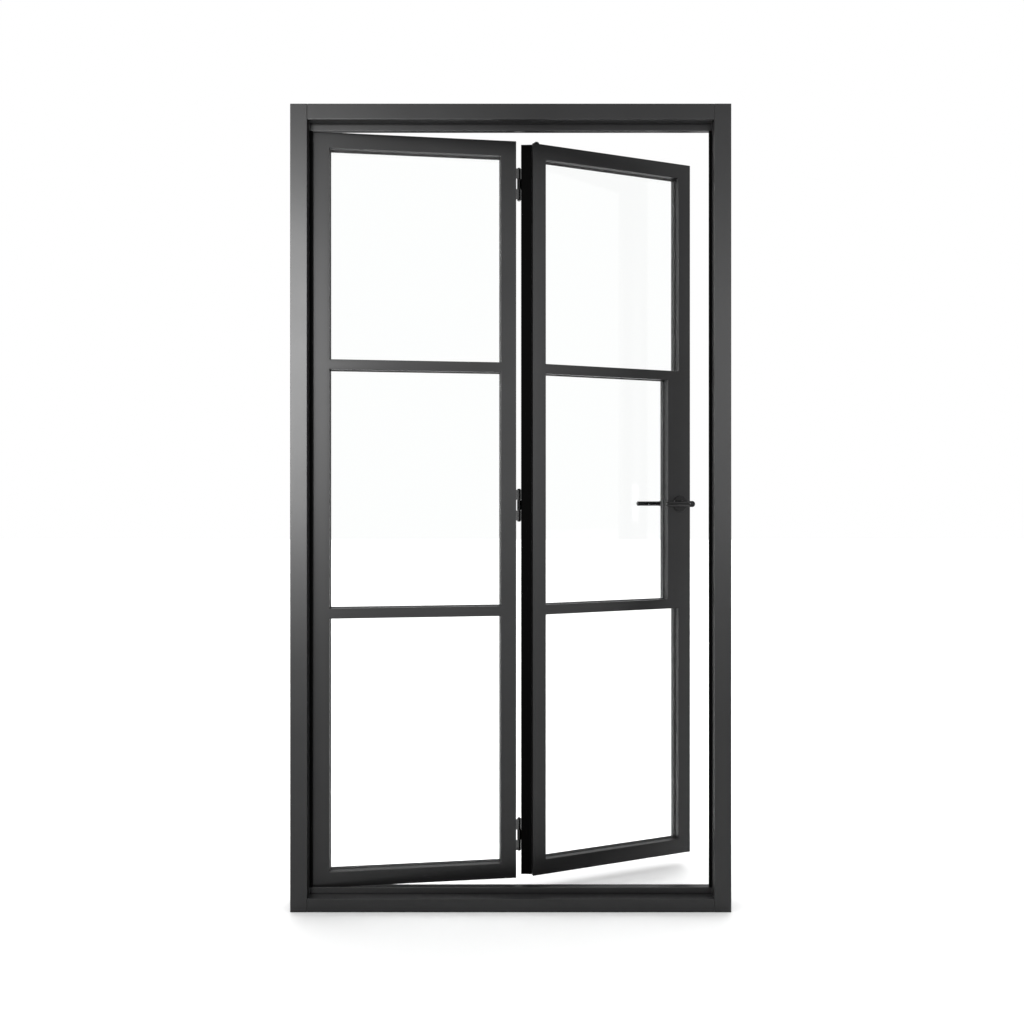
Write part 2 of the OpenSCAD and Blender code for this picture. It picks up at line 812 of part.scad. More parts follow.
// Latch with its tip bevelled on the side that meets the strike first
module latch_bolt() {
    x0 = leaf_2_x1 - latch_tail;
    x1 = leaf_2_x1 + latch_throw;
    y0 = lock_mid_y - latch_w / 2;
    y1 = lock_mid_y + latch_w / 2;
    color(steel) on_leaf_2() translate([0, 0, latch_z - latch_h / 2]) linear_extrude(latch_h)
        polygon([[x0, y0], [leaf_2_x1, y0], [x1, y1 - latch_nose], [x1, y1], [x0, y1]]);
}

// Round plate on a face of the leaf, bevelled at its rim; out is -1 in front and 1 behind
module rose(face_y, out) {
    hole_r = neck_r + lock_fit;
    translate([lever_x, face_y, lever_z]) rotate([-90 * out, 0, 0]) rotate_extrude()
        polygon([[hole_r, 0], [rose_r, 0], [rose_r, rose_t - rose_bevel],
                 [rose_r - rose_bevel, rose_t], [hole_r, rose_t]]);
}

module rose_front() {
    color(charcoal) on_leaf_2() rose(leaf_y, -1);
}

module rose_rear() {
    color(charcoal) on_leaf_2() rose(leaf_back, 1);
}

// A lever: a round neck with a bevelled end and a thinner straight grip; drawn for the rear face
// and mirrored through the middle of the leaf for the front
module lever() {
    neck_y = leaf_back + rose_t - neck_in;
    grip_y = leaf_back + lever_out;
    bevel_y = grip_y + lever_r + neck_past - tip_bevel;
    tip_x = lever_x - lever_len;
    difference() {
        union() {
            along_y([lever_x, neck_y, lever_z], bevel_y - neck_y, neck_r);
            translate([lever_x, bevel_y, lever_z]) rotate([-90, 0, 0])
                cylinder(h = tip_bevel, r1 = neck_r, r2 = neck_r - tip_bevel);
            along_x([tip_x + tip_bevel, grip_y, lever_z], lever_len - tip_bevel, lever_r);
            translate([tip_x, grip_y, lever_z]) rotate([0, 90, 0])
                cylinder(h = tip_bevel, r1 = lever_r - tip_bevel, r2 = lever_r);
        }
        spindle_bar();
    }
}

// Spindle, which ends inside both necks
module spindle_bar() {
    depth = leaf_t + 2 * spindle_past;
    translate([lever_x, lock_mid_y, lever_z]) cube([spindle_w, depth, spindle_w], center = true);
}

module lever_front() {
    color(charcoal) on_leaf_2()
        translate([0, lock_mid_y, 0]) mirror([0, 1, 0]) translate([0, -lock_mid_y, 0]) lever();
}

module lever_rear() {
    color(charcoal) on_leaf_2() lever();
}

module lever_spindle() {
    color(steel) on_leaf_2() spindle_bar();
}

// Hub that the spindle turns inside the case
module lock_hub() {
    color(steel) on_leaf_2() difference() {
        along_y([lever_x, lock_mid_y - case_size[1] / 2, lever_z], case_size[1], hub_r - lock_fit);
        spindle_bar();
    }
}

jamb_left();
jamb_right();
head();
sill();
head_stop();
sill_stop();
jamb_seal_left();
jamb_seal_right();
strike_plate();
strike_screws();
jamb_hinge_frame_plates();
jamb_hinge_pins();
jamb_hinge_frame_screws();
leaf_1_hinge_stile();
leaf_1_meeting_stile();
leaf_1_top_rail();
leaf_1_bottom_rail();
leaf_1_upper_bar();
leaf_1_lower_bar();
leaf_1_top_pane();
leaf_1_middle_pane();
leaf_1_bottom_pane();
leaf_1_gaskets();
leaf_1_top_bead();
leaf_1_middle_bead();
leaf_1_bottom_bead();
jamb_hinge_leaf_plates();
jamb_hinge_leaf_screws();
meeting_hinge_pin_plates();
meeting_hinge_pins();
meeting_hinge_leaf_1_screws();
leaf_2_hinge_stile();
leaf_2_lock_stile();
leaf_2_top_rail();
leaf_2_bottom_rail();
leaf_2_upper_bar();
leaf_2_lower_bar();
leaf_2_top_pane();
leaf_2_middle_pane();
leaf_2_bottom_pane();
leaf_2_gaskets();
leaf_2_top_bead();
leaf_2_middle_bead();
leaf_2_bottom_bead();
leaf_2_edge_seal();
leaf_2_guide_pin();
meeting_hinge_free_plates();
meeting_hinge_leaf_2_screws();
lock_box();
lock_case();
lock_faceplate();
faceplate_screws();
rose_front();
rose_rear();
lever_front();
lever_rear();
lever_spindle();
lock_hub();
latch_bolt();
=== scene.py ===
"""Looks of the bifold door: welded leaf frames, softened metal edges, glass, finishes, light and camera."""
import json
import math

import bpy
from mathutils import Matrix, Vector


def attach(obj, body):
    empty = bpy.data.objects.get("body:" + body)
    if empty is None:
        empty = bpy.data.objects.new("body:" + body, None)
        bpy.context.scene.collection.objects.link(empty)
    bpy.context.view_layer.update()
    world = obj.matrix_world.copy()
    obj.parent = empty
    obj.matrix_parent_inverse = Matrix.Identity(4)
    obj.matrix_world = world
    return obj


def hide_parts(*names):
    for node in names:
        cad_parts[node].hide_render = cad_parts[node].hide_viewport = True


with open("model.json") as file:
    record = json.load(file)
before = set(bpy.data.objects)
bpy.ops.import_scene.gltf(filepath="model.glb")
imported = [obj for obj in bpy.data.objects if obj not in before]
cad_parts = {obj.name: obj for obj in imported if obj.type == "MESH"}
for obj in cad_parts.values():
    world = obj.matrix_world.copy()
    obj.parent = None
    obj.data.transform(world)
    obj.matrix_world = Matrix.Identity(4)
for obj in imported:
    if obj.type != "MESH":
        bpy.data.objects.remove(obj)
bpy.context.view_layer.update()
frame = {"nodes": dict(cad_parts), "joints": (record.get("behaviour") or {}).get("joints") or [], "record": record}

# Lengths are in metres, and this turns a millimetre value into them
MM = 0.001

# The photograph's view: where its eye is, its focal length, and the pixel that its axis meets
IMAGE_PX = 1024
EYE = Vector((0, -2.344, 1.130))
FOCAL_PX = 845.8
AXIS_PX = (510.7, 496.9)
SENSOR_MM = 36.0

# Rounding of the edges, and the number of faces across it
FRAME_EDGE = 1.4 * MM
LEAF_EDGE = 1.2 * MM
TRIM_EDGE = 0.6 * MM
FINE_EDGE = 0.35 * MM
SCREW_EDGE = FINE_EDGE / 2
EDGE_STEPS = 2
SCREW_STEPS = 1

# Angles between faces from which an edge is rounded, and up to which it is shaded smooth
SHARP_ANGLE = math.radians(30)
SMOOTH_ANGLE = math.radians(35)
# Weight that keeps the shading of large flat faces true
FLAT_WEIGHT = 100

# Fall of a glazing bead's upper and lower inner faces, from the glass to the rear
BEAD_SLOPE = 8 * MM

# How far the pocket for the lock's faceplate is cut past the leaf's edge
POCKET_PAST = 1 * MM

# Sides of a screw's drive, and its radius and depth
DRIVE_SIDES = 6
HINGE_DRIVE = (1.7 * MM, 1.2 * MM)
LOCK_DRIVE = (1.3 * MM, 1.0 * MM)

# Ways that screw heads face with the door closed
REARWARD = Vector((0, 1, 0))
LEFTWARD = Vector((-1, 0, 0))
RIGHTWARD = Vector((1, 0, 0))

# Distances within which points are merged, a place is on a plane, and a place is on a piece's rim
MERGE_GAP = 0.01 * MM
PLANE_GAP = 0.1 * MM
RIM_GAP = 1 * MM
# Angle up to which neighbouring faces are one, and decimals that tell two cut lines apart
FLAT_ANGLE = math.radians(1)
LINE_DECIMALS = 6

# What edit mode selects
POINT_MODE = (True, False, False)
EDGE_MODE = (False, True, False)
FACE_MODE = (False, False, True)

# Noise of the finishes, the part of it that their tones spread over, and the height of their bumps
GRAIN_SCALE = 900.0
GRAIN_DETAIL = 2.0
CLOUD_SCALE = 3.0
CLOUD_DETAIL = 3.0
MASK_LOW = 0.3
MASK_HIGH = 0.7
BUMP_HEIGHT = 0.2 * MM

# Glass: tint of what is seen through it, tint of its shadow, and how it bends light
GLASS_TINT = (0.985, 0.995, 0.99, 1)
GLASS_SHADOW = (0.96, 0.975, 0.97, 1)
GLASS_IOR = 1.3

# Floor
FLOOR_SIZE = 40.0
FLOOR_WHITE = (0.95, 0.95, 0.95, 1)
FLOOR_ROUGHNESS = 0.9

# Surround: its light from the sides and at the top, how closely that gathers, and the top's lean to the back
WHITE = (1, 1, 1, 1)
SIDE_LIGHT = 0.32
TOP_LIGHT = 2.5
TOP_GATHER = 1.2
TOP_LEAN = math.radians(30)
TOP_DIRECTION = (0, math.sin(TOP_LEAN), math.cos(TOP_LEAN))

# Nodes that share a treatment
PLACES = ("bottom", "middle", "top")
JAMBS = ["jamb_left", "jamb_right"]
CROSS_MEMBERS = ["head", "sill", "head_stop", "sill_stop"]
BEADS = [f"leaf_{leaf}_{place}_bead" for leaf in (1, 2) for place in PLACES]
PANES = [f"leaf_{leaf}_{place}_pane" for leaf in (1, 2) for place in PLACES]
HINGE_METAL = ["jamb_hinge_frame_plates", "jamb_hinge_leaf_plates", "meeting_hinge_pin_plates",
               "meeting_hinge_free_plates", "jamb_hinge_pins", "meeting_hinge_pins"]
HINGE_SCREWS = ["jamb_hinge_frame_screws", "jamb_hinge_leaf_screws", "meeting_hinge_leaf_1_screws",
                "meeting_hinge_leaf_2_screws"]
HANDLES = ["lever_front", "lever_rear", "rose_front", "rose_rear", "leaf_2_guide_pin"]
SEALS = ["jamb_seal_left", "jamb_seal_right", "leaf_2_edge_seal"]
GASKETS = ["leaf_1_gaskets", "leaf_2_gaskets"]
LOCK_STEEL = ["strike_plate", "lock_faceplate", "latch_bolt"]
HIDDEN_STEEL = ["lock_case", "lock_hub", "lever_spindle"]

# Members of each leaf's welded frame, its two stiles first
LEAF_1_MEMBERS = ["leaf_1_hinge_stile", "leaf_1_meeting_stile", "leaf_1_top_rail", "leaf_1_bottom_rail",
                  "leaf_1_upper_bar", "leaf_1_lower_bar"]
LEAF_2_MEMBERS = ["leaf_2_hinge_stile", "leaf_2_lock_stile", "leaf_2_top_rail", "leaf_2_bottom_rail",
                  "leaf_2_upper_bar", "leaf_2_lower_bar", "lock_box"]

BODY_OF = {node: body for body, nodes in frame["record"]["behaviour"]["bodies"].items() for node in nodes}
JOINTS = {joint["name"]: joint for joint in frame["joints"]}


# Closed pose: the leaves are modelled closed and then swung to where they rest

def swing(joint_name):
    """Turn of a leaf from closed to its rest pose, which is as far as its range goes below zero."""
    joint = JOINTS[joint_name]
    pivot = Matrix.Translation(Vector(joint["pos_m"]))
    turn = Matrix.Rotation(math.radians(-joint["range_deg"][0]), 4, Vector(joint["axis"]))
    return pivot @ turn @ pivot.inverted()


LEAF_1_SWING = swing("leaf_1_swing")
# The fold's pivot is given at rest, after leaf 1 has swung, so it acts last
LEAF_2_SWING = swing("leaf_2_fold") @ LEAF_1_SWING
SWING_OF = {"frame": Matrix.Identity(4), "leaf_1": LEAF_1_SWING, "leaf_2": LEAF_2_SWING,
            "lever": LEAF_2_SWING, "latch": LEAF_2_SWING}


def corners(points):
    """Lowest and highest corners of the box round some points."""
    low = Vector([min(point[i] for point in points) for i in range(3)])
    high = Vector([max(point[i] for point in points) for i in range(3)])
    return low, high


def closed_box(node):
    """Lowest and highest corners of a node with the door closed."""
    back = SWING_OF[BODY_OF[node]].inverted()
    return corners([back @ vertex.co for vertex in frame["nodes"][node].data.vertices])


# Modelling steps

def activate(piece):
    """Makes a piece the only selected one."""
    bpy.ops.object.select_all(action="DESELECT")
    piece.select_set(True)
    bpy.context.view_layer.objects.active = piece


def shade(piece):
    """Shades a piece smooth round its rounded edges and true on its flats."""
    activate(piece)
    bpy.ops.object.shade_smooth_by_angle(angle=SMOOTH_ANGLE)
    flats = piece.modifiers.new("true_flats", "WEIGHTED_NORMAL")
    flats.weight = FLAT_WEIGHT
    flats.keep_sharp = True
    bpy.ops.object.modifier_apply(modifier=flats.name)


def soften(piece, width, steps=EDGE_STEPS):
    """Rounds every sharp edge of a piece."""
    activate(piece)
    bevel = piece.modifiers.new("soft_edges", "BEVEL")
    bevel.width = width
    bevel.segments = steps
    bevel.limit_method = "ANGLE"
    bevel.angle_limit = SHARP_ANGLE
    bpy.ops.object.modifier_apply(modifier=bevel.name)
    shade(piece)


def soften_post(piece, width):
    """Rounds the long edges and the ends of an upright, and leaves its holes and pockets crisp."""
    activate(piece)
    heights = [vertex.co.z for vertex in piece.data.vertices]
    bottom = min(heights)
    top = max(heights)
    bpy.context.tool_settings.mesh_select_mode = EDGE_MODE
    bpy.ops.object.mode_set(mode="EDIT")
    bpy.ops.mesh.select_all(action="DESELECT")
    bpy.ops.mesh.edges_select_sharp(sharpness=SHARP_ANGLE)
    bpy.ops.object.mode_set(mode="OBJECT")
    for edge in piece.data.edges:
        lower, upper = sorted(heights[i] for i in edge.vertices)
        at_end = upper < bottom + RIM_GAP or lower > top - RIM_GAP
        is_long = upper - lower > (top - bottom) / 2
        edge.select = edge.select and (at_end or is_long)
    bpy.ops.object.mode_set(mode="EDIT")
    bpy.ops.mesh.bevel(offset=width, segments=EDGE_STEPS, affect="EDGES", clamp_overlap=True)
    bpy.ops.object.mode_set(mode="OBJECT")
    shade(piece)


def own_copy(node, name):
    """A free copy of a node's mesh with its doubles merged and its flat faces whole."""
    piece = bpy.data.objects.new(name, frame["nodes"][node].data.copy())
    bpy.context.scene.collection.objects.link(piece)
    activate(piece)
    bpy.ops.object.mode_set(mode="EDIT")
    bpy.ops.mesh.select_all(action="SELECT")
    bpy.ops.mesh.customdata_custom_splitnormals_clear()
    bpy.ops.mesh.remove_doubles(threshold=MERGE_GAP)
    bpy.ops.mesh.dissolve_limited(angle_limit=FLAT_ANGLE)
    bpy.ops.object.mode_set(mode="OBJECT")
    return piece


def finish_piece(piece, material, slot, *nodes):
    """Gives a piece its finish and lets it stand for its nodes on their body."""
    piece.data.materials.clear()
    piece.data.materials.append(material)
    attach(piece, BODY_OF[nodes[0]])
    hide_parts(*nodes)


def finish_node(node, material):
    """Gives its finish to a node that is shown as it is."""
    mesh = frame["nodes"][node].data
    mesh.materials.clear()
    mesh.materials.append(material)


def softened(node, width, material, slot):
    """A node with rounded edges."""
    piece = own_copy(node, node + "_soft")
    soften(piece, width)
    finish_piece(piece, material, slot, node)


def softened_post(node, width, material, slot):
    """An upright with its long edges and its ends rounded."""
    piece = own_copy(node, node + "_soft")
    soften_post(piece, width)
    finish_piece(piece, material, slot, node)


def block(name, low, high):
    """A cube between two corners, with its place in its mesh."""
    bpy.ops.object.select_all(action="DESELECT")
    bpy.ops.mesh.primitive_cube_add(size=1, location=(low + high) / 2)
    piece = bpy.context.object
    piece.name = name
    piece.scale = high - low
    bpy.ops.object.transform_apply(location=True, rotation=True, scale=True)
    return piece


def cut_away(piece, tool):
    """Takes a tool's shape out of a piece and removes the tool."""
    activate(piece)
    boolean = piece.modifiers.new("cut", "BOOLEAN")
    boolean.operation = "DIFFERENCE"
    boolean.solver = "EXACT"
    boolean.object = tool
    bpy.ops.object.modifier_apply(modifier=boolean.name)
    bpy.data.objects.remove(tool)


def inside(point, outline, grow=0.0):
    """Whether a point lies in an outline, across and up."""
    x0, x1, z0, z1 = outline
    return x0 - grow < point.x < x1 + grow and z0 - grow < point.z < z1 + grow


def select_faces(piece, wanted):
    """Selects only the faces whose middles are wanted, from object mode."""
    bpy.context.tool_settings.mesh_select_mode = FACE_MODE
    for element in (*piece.data.vertices, *piece.data.edges):
        element.select = False
    for polygon in piece.data.polygons:
        polygon.select = wanted(polygon.center)


def select_points(piece, wanted):
    """Selects only the points that are wanted, from object mode."""
    bpy.context.tool_settings.mesh_select_mode = POINT_MODE
    for element in (*piece.data.edges, *piece.data.polygons):
        element.select = False
    for vertex in piece.data.vertices:
        vertex.select = wanted(vertex.co)


# Leaf frames: one welded piece each

def leaf_openings(leaf, rebate):
    """The three openings of a leaf, as the lips in front of its panes show them."""
    openings = []
    for place in PLACES:
        low, high = closed_box(f"leaf_{leaf}_{place}_bead")
        openings.append((low.x + rebate, high.x - rebate, low.z + rebate, high.z - rebate))
    return openings


def cut_lines(spans, rebate):
    """Where a leaf's sheet is cut one way: at its openings' edges and at the rebates round them."""
    lines = set()
    for start, end in spans:
        for line in (start, end, start - rebate, end + rebate):
            lines.add(round(line, LINE_DECIMALS))
    return sorted(lines)


def leaf_sheet(name, low, high, x_lines, z_lines):
    """The front face of a leaf, as a plane cut along the given lines."""
    bpy.ops.object.select_all(action="DESELECT")
    middle = (low + high) / 2
    upright = (math.pi / 2, 0, 0)
    bpy.ops.mesh.primitive_plane_add(size=1, location=(middle.x, low.y, middle.z), rotation=upright)
    piece = bpy.context.object
    piece.name = name
    piece.scale = (high.x - low.x, high.z - low.z, 1)
    bpy.ops.object.transform_apply(location=True, rotation=True, scale=True)
    bpy.ops.object.mode_set(mode="EDIT")
    for x in x_lines:
        bpy.ops.mesh.select_all(action="SELECT")
        bpy.ops.mesh.bisect(plane_co=(x, low.y, middle.z), plane_no=(1, 0, 0))
    for z in z_lines:
        bpy.ops.mesh.select_all(action="SELECT")
        bpy.ops.mesh.bisect(plane_co=(middle.x, low.y, z), plane_no=(0, 0, 1))
    bpy.ops.object.mode_set(mode="OBJECT")
    return piece


def leaf_frame(leaf, members, material):
    """The welded frame of a leaf: lips round its openings in front and rebates behind them."""
    hinge_stile, free_stile = members[:2]
    low, high = corners([*closed_box(hinge_stile), *closed_box(free_stile)])
    rebate = closed_box(hinge_stile)[1].x - closed_box(f"leaf_{leaf}_bottom_bead")[0].x
    lip = closed_box(f"leaf_{leaf}_gaskets")[0].y - low.y
    openings = leaf_openings(leaf, rebate)
    x_lines = cut_lines([(x0, x1) for x0, x1, z0, z1 in openings], rebate)
    z_lines = cut_lines([(z0, z1) for x0, x1, z0, z1 in openings], rebate)
    piece = leaf_sheet(f"leaf_{leaf}_frame", low, high, x_lines, z_lines)

    # The sheet without its openings is drawn back to the depth of the lips
    select_faces(piece, lambda centre: any(inside(centre, opening) for opening in openings))
    activate(piece)
    bpy.ops.object.mode_set(mode="EDIT")
    bpy.ops.mesh.delete(type="FACE")
    bpy.ops.mesh.select_all(action="SELECT")
    bpy.ops.mesh.extrude_region_move(TRANSFORM_OT_translate={"value": (0, lip, 0)})
    bpy.ops.object.mode_set(mode="OBJECT")

    # What lies outside the rebates is drawn on to the back
    lip_back = low.y + lip
    select_faces(piece, lambda centre: abs(centre.y - lip_back) < PLANE_GAP
                 and not any(inside(centre, opening, rebate) for opening in openings))
    bpy.ops.object.mode_set(mode="EDIT")
    bpy.ops.mesh.extrude_region_move(TRANSFORM_OT_translate={"value": (0, high.y - lip_back, 0)})
    bpy.ops.mesh.select_all(action="SELECT")
    bpy.ops.mesh.remove_doubles(threshold=MERGE_GAP)
    bpy.ops.mesh.normals_make_consistent(inside=False)
    bpy.ops.object.mode_set(mode="OBJECT")

    if "lock_box" in members:
        plate_low, plate_high = closed_box("lock_faceplate")
        cut_away(piece, block("faceplate_pocket", plate_low, plate_high + POCKET_PAST * RIGHTWARD))
    soften(piece, LEAF_EDGE)
    piece.data.transform(SWING_OF[f"leaf_{leaf}"])
    finish_piece(piece, material, "powder_coat", *members)


# Glazing beads

def sloped_bead(node, material):
    """A glazing bead whose upper and lower inner faces slope away behind the glass."""
    piece = own_copy(node, node + "_soft")
    turn = SWING_OF[BODY_OF[node]]
    piece.data.transform(turn.inverted())
    low, high = closed_box(node)
    middle = (low + high) / 2
    within = (low.x + RIM_GAP, high.x - RIM_GAP, low.z + RIM_GAP, high.z - RIM_GAP)
    select_points(piece, lambda point: point.y > high.y - PLANE_GAP and inside(point, within))
    half_height = max(vertex.co.z - middle.z for vertex in piece.data.vertices if vertex.select)
    heighten = 1 + BEAD_SLOPE / half_height
    bpy.ops.object.mode_set(mode="EDIT")
    bpy.ops.transform.resize(value=(1, 1, heighten), center_override=middle)
    bpy.ops.object.mode_set(mode="OBJECT")
    soften(piece, TRIM_EDGE)
    piece.data.transform(turn)
    finish_piece(piece, material, "powder_coat", node)


# Screws with a six-sided drive

def separate_boxes(piece):
    """Lowest and highest corners of each loose part of a piece, in its own mesh."""
    mesh = piece.data
    parent = list(range(len(mesh.vertices)))

    def root(i):
        while parent[i] != i:
            parent[i] = parent[parent[i]]
            i = parent[i]
        return i

    for edge in mesh.edges:
        parent[root(edge.vertices[0])] = root(edge.vertices[1])
    groups = {}
    for i, vertex in enumerate(mesh.vertices):
        groups.setdefault(root(i), []).append(vertex.co)
    return [corners(points) for points in groups.values()]


def drive_recess(centre, outward, radius, depth):
    """A six-sided tool that cuts the drive at the middle of a screw's head."""
    bpy.ops.object.select_all(action="DESELECT")
    turn = outward.to_track_quat("Z", "Y").to_euler()
    bpy.ops.mesh.primitive_cylinder_add(vertices=DRIVE_SIDES, radius=radius, depth=2 * depth,
                                        location=centre, rotation=turn)
    bpy.ops.object.transform_apply(location=True, rotation=True, scale=True)
    return bpy.context.object


def screws(node, outward, drive, material, slot):
    """The screws of a node, made with the door closed, each with a drive in its head."""
    piece = own_copy(node, node + "_drive")
    turn = SWING_OF[BODY_OF[node]]
    piece.data.transform(turn.inverted())
    tools = []
    for low, high in separate_boxes(piece):
        middle = (low + high) / 2
        reach = (high - low) / 2
        head = middle + Vector([outward[i] * reach[i] for i in range(3)])
        tools.append(drive_recess(head, outward, *drive))
    activate(tools[0])
    for tool in tools:
        tool.select_set(True)
    bpy.ops.object.join()
    cut_away(piece, tools[0])
    soften(piece, SCREW_EDGE, SCREW_STEPS)
    piece.data.transform(turn)
    finish_piece(piece, material, slot, node)


# Finishes

def surface_group():
    """Fine grain and slow clouds over a surface, which several finishes share."""
    group = bpy.data.node_groups.new("grain_and_clouds", "ShaderNodeTree")
    for name, value in (("Grain Scale", GRAIN_SCALE), ("Cloud Scale", CLOUD_SCALE)):
        socket = group.interface.new_socket(name, in_out="INPUT", socket_type="NodeSocketFloat")
        socket.default_value = value
    for name in ("Grain", "Clouds"):
        group.interface.new_socket(name, in_out="OUTPUT", socket_type="NodeSocketFloat")
    entry = group.nodes.new("NodeGroupInput")
    leave = group.nodes.new("NodeGroupOutput")
    place = group.nodes.new("ShaderNodeTexCoord")
    noises = (("Grain", "Grain Scale", GRAIN_DETAIL), ("Clouds", "Cloud Scale", CLOUD_DETAIL))
    for name, scale, detail in noises:
        noise = group.nodes.new("ShaderNodeTexNoise")
        noise.inputs["Detail"].default_value = detail
        group.links.new(place.outputs["Object"], noise.inputs["Vector"])
        group.links.new(entry.outputs[scale], noise.inputs["Scale"])
        group.links.new(noise.outputs["Fac"], leave.inputs[name])
    return group


GRAIN_AND_CLOUDS = surface_group()


def blank_material(name):
    """A material with only a shader, and the output that it feeds."""
    material = bpy.data.materials.new(name)
    material.use_nodes = True
    tree = material.node_tree
    tree.nodes.clear()
    shader = tree.nodes.new("ShaderNodeBsdfPrincipled")
    output = tree.nodes.new("ShaderNodeOutputMaterial")
    tree.links.new(shader.outputs["BSDF"], output.inputs["Surface"])
    return material, shader, output


def ranged(tree, mask, low, high):
    """A value that follows a mask from low to high."""
    node = tree.nodes.new("ShaderNodeMapRange")
    node.inputs["From Min"].default_value = MASK_LOW
    node.inputs["From Max"].default_value = MASK_HIGH
    node.inputs["To Min"].default_value = low
    node.inputs["To Max"].default_value = high
    tree.links.new(mask, node.inputs["Value"])
    return node.outputs["Result"]


def tinted(tree, mask, dark, light):
    """A colour that follows a mask from dark to light."""
    node = tree.nodes.new("ShaderNodeValToRGB")
    first, last = node.color_ramp.elements
    first.position = MASK_LOW
    first.color = (*dark, 1)
    last.position = MASK_HIGH
    last.color = (*light, 1)
    tree.links.new(mask, node.inputs["Fac"])
    return node.outputs["Color"]


def grained(name, dark, light, rough, grain_scale, bump, sheen=0.5, metallic=0.0):
    """A finish with a grain that catches the light and a slow change of tone."""
    material, shader = blank_material(name)[:2]
    tree = material.node_tree
    surface = tree.nodes.new("ShaderNodeGroup")
    surface.node_tree = GRAIN_AND_CLOUDS
    surface.inputs["Grain Scale"].default_value = grain_scale
    tree.links.new(tinted(tree, surface.outputs["Clouds"], dark, light), shader.inputs["Base Color"])
    tree.links.new(ranged(tree, surface.outputs["Clouds"], *rough), shader.inputs["Roughness"])
    height = tree.nodes.new("ShaderNodeBump")
    height.inputs["Strength"].default_value = bump
    height.inputs["Distance"].default_value = BUMP_HEIGHT
    tree.links.new(surface.outputs["Grain"], height.inputs["Height"])
    tree.links.new(height.outputs["Normal"], shader.inputs["Normal"])
    shader.inputs["Specular IOR Level"].default_value = sheen
    shader.inputs["Metallic"].default_value = metallic
    return material


def either_shader(tree, choice, at_zero, at_one):
    """One shader where a choice is zero and another where it is one."""
    node = tree.nodes.new("ShaderNodeMixShader")
    tree.links.new(choice, node.inputs["Fac"])
    tree.links.new(at_zero, node.inputs[1])
    tree.links.new(at_one, node.inputs[2])
    return node.outputs["Shader"]


def clear_glass():
    """Float glass, which lets light through to what is behind it."""
    material, shader, output = blank_material("clear_float_glass")
    tree = material.node_tree
    shader.inputs["Base Color"].default_value = GLASS_TINT
    shader.inputs["Roughness"].default_value = 0.0
    shader.inputs["IOR"].default_value = GLASS_IOR
    shader.inputs["Transmission Weight"].default_value = 1.0
    path = tree.nodes.new("ShaderNodeLightPath")
    through = tree.nodes.new("ShaderNodeBsdfTransparent")
    through.inputs["Color"].default_value = GLASS_SHADOW
    pane = either_shader(tree, path.outputs["Is Shadow Ray"], at_zero=shader.outputs["BSDF"],
                         at_one=through.outputs["BSDF"])
    tree.links.new(pane, output.inputs["Surface"])
    return material


PAINT = grained("charcoal_powder_coat", dark=(0.012, 0.012, 0.0125), light=(0.016, 0.016, 0.0166),
                rough=(0.34, 0.40), grain_scale=1100, bump=0.10, sheen=0.28)
HARDWARE = grained("black_handle_coat", dark=(0.004, 0.004, 0.0043), light=(0.006, 0.006, 0.0063),
                   rough=(0.26, 0.32), grain_scale=1500, bump=0.06, sheen=0.24)
HINGE = grained("black_hinge_coat", dark=(0.006, 0.006, 0.0063), light=(0.009, 0.009, 0.0094),
                rough=(0.13, 0.18), grain_scale=1500, bump=0.04, sheen=1.0)
RUBBER = grained("black_rubber_seal", dark=(0.0010, 0.0010, 0.0010), light=(0.0018, 0.0018, 0.0018),
                 rough=(0.64, 0.76), grain_scale=700, bump=0.10, sheen=0.015)
GASKET = grained("dark_glazing_gasket", dark=(0.017, 0.017, 0.017), light=(0.024, 0.024, 0.024),
                 rough=(0.48, 0.58), grain_scale=700, bump=0.10, sheen=0.3)
STEEL = grained("brushed_lock_steel", dark=(0.45, 0.45, 0.46), light=(0.58, 0.58, 0.60),
                rough=(0.28, 0.38), grain_scale=600, bump=0.12, metallic=1.0)
GLASS = clear_glass()


# Pieces

for node in JAMBS:
    softened_post(node, FRAME_EDGE, PAINT, "powder_coat")
for node in CROSS_MEMBERS:
    softened(node, FRAME_EDGE, PAINT, "powder_coat")
leaf_frame(1, LEAF_1_MEMBERS, PAINT)
leaf_frame(2, LEAF_2_MEMBERS, PAINT)
for node in BEADS:
    sloped_bead(node, PAINT)
for node in HINGE_METAL:
    softened(node, FINE_EDGE, HINGE, "powder_coat")
for node in HANDLES:
    softened(node, FINE_EDGE, HARDWARE, "powder_coat")
for node in SEALS:
    softened(node, FINE_EDGE, RUBBER, "black_rubber")
for node in GASKETS:
    softened(node, FINE_EDGE, GASKET, "black_rubber")
for node in LOCK_STEEL:
    softened(node, FINE_EDGE, STEEL, "steel")
for node in PANES:
    finish_node(node, GLASS)
for node in HIDDEN_STEEL:
    finish_node(node, STEEL)
for node in HINGE_SCREWS:
    screws(node, REARWARD, HINGE_DRIVE, HINGE, "powder_coat")
screws("strike_screws", LEFTWARD, LOCK_DRIVE, STEEL, "steel")
screws("faceplate_screws", RIGHTWARD, LOCK_DRIVE, STEEL, "steel")


# Stage: a white floor and surround, a large soft light on the left and a weak tall one on the right

def white_floor():
    """A matt white floor that takes the door's shadow."""
    bpy.ops.object.select_all(action="DESELECT")
    bpy.ops.mesh.primitive_plane_add(size=FLOOR_SIZE, location=(0, 0, 0))
    floor = bpy.context.object
    floor.name = "studio_floor"
    material, shader = blank_material("studio_white_floor")[:2]
    shader.inputs["Base Color"].default_value = FLOOR_WHITE
    shader.inputs["Roughness"].default_value = FLOOR_ROUGHNESS
    shader.inputs["Specular IOR Level"].default_value = 0.0
    floor.data.materials.append(material)


